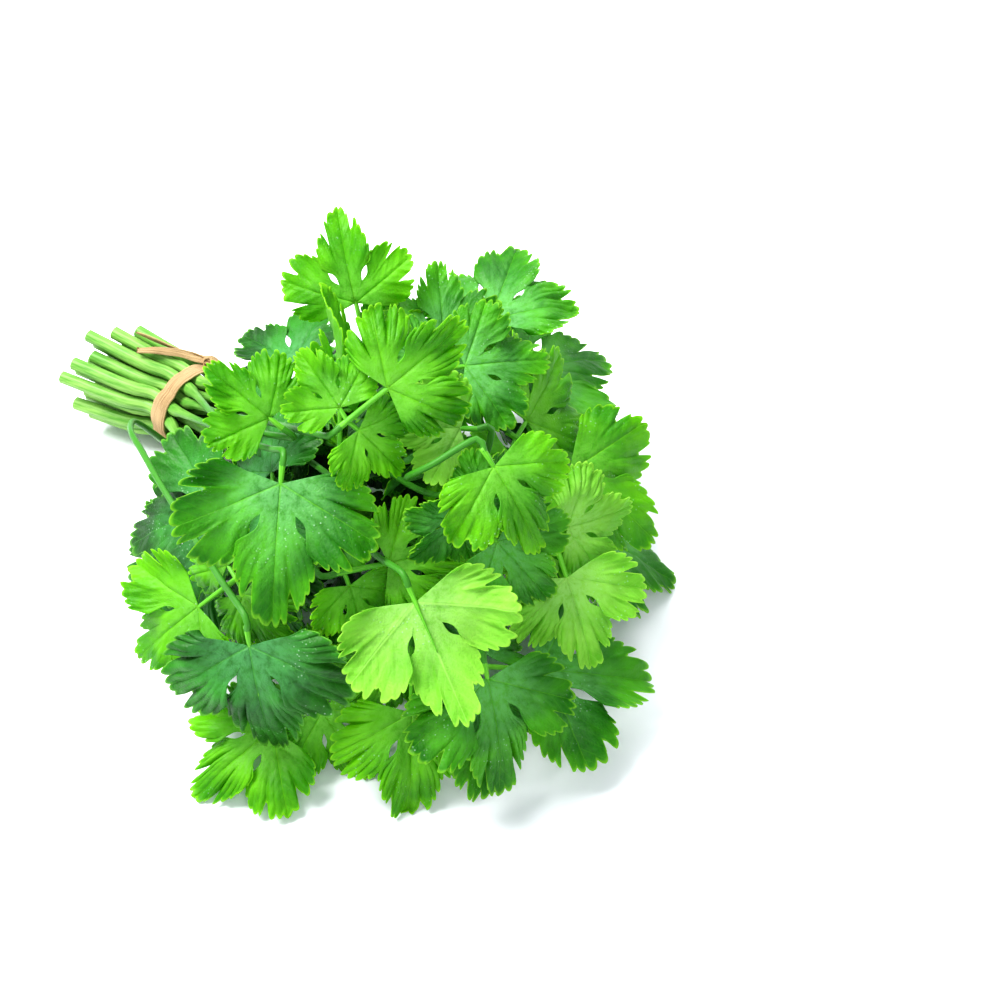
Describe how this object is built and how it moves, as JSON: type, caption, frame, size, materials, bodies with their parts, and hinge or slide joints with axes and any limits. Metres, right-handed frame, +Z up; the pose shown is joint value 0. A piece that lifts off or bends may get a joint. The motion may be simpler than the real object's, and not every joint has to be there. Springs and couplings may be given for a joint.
{
  "type": "coriander bunch",
  "caption": "Bunch of fresh coriander sprigs lying on its side: stems held by a raffia strip, with lobed leaves fanning out from them.",
  "frame": {"origin": "middle of the bottom of the bunch's bounding box, on the surface that it lies on", "axes": "+Z is up, +Y runs along the bunch from the leaves to the cut ends of the stems, and +X completes the right-handed frame"},
  "size_m": [0.1782, 0.2222, 0.1277],
  "materials": {
    "leaf_bright": "fresh young leaf, vivid yellow-green, satin sheen",
    "leaf_green": "fresh leaf, mid green, satin sheen",
    "leaf_deep": "older leaf, deep bluish green, satin sheen",
    "leaf_pale": "leaf seen from its pale, matt underside",
    "stem_green": "light green, slightly glossy stem with faint ribs",
    "raffia": "dry tan plant fibre, matt"
  },
  "bodies": {
    "root": {"leaf_01": "leaf_green", "leaf_02": "leaf_bright", "leaf_03": "leaf_bright", "leaf_04": "leaf_pale", "leaf_05": "leaf_bright", "leaf_06": "leaf_bright", "leaf_07": "leaf_pale", "leaf_08": "leaf_green", "leaf_09": "leaf_pale", "leaf_10": "leaf_bright", "leaf_11": "leaf_green", "leaf_12": "leaf_bright", "leaf_13": "leaf_green", "leaf_14": "leaf_deep", "leaf_15": "leaf_bright", "leaf_16": "leaf_bright", "leaf_17": "leaf_deep", "leaf_18": "leaf_deep", "leaf_19": "leaf_deep", "leaf_20": "leaf_bright", "leaf_21": "leaf_bright", "leaf_22": "leaf_green", "leaf_23": "leaf_green", "leaf_24": "leaf_green", "leaf_25": "leaf_bright", "leaf_26": "leaf_green", "leaf_27": "leaf_deep", "leaf_28": "leaf_green", "leaf_29": "leaf_green", "stem_01": "stem_green", "stem_02": "stem_green", "stem_03": "stem_green", "stem_04": "stem_green", "stem_05": "stem_green", "stem_06": "stem_green", "stem_07": "stem_green", "stem_08": "stem_green", "stem_09": "stem_green", "stem_10": "stem_green", "stem_11": "stem_green", "stem_12": "stem_green", "stem_13": "stem_green", "stem_14": "stem_green", "stem_15": "stem_green", "stem_16": "stem_green", "stem_17": "stem_green", "stem_18": "stem_green", "stem_19": "stem_green", "stem_20": "stem_green", "stem_21": "stem_green", "stem_22": "stem_green", "stem_23": "stem_green", "stem_24": "stem_green", "stem_25": "stem_green", "stem_26": "stem_green", "stem_27": "stem_green", "stem_28": "stem_green", "stem_29": "stem_green", "raffia_tie": "raffia"}
  },
  "joints": []
}
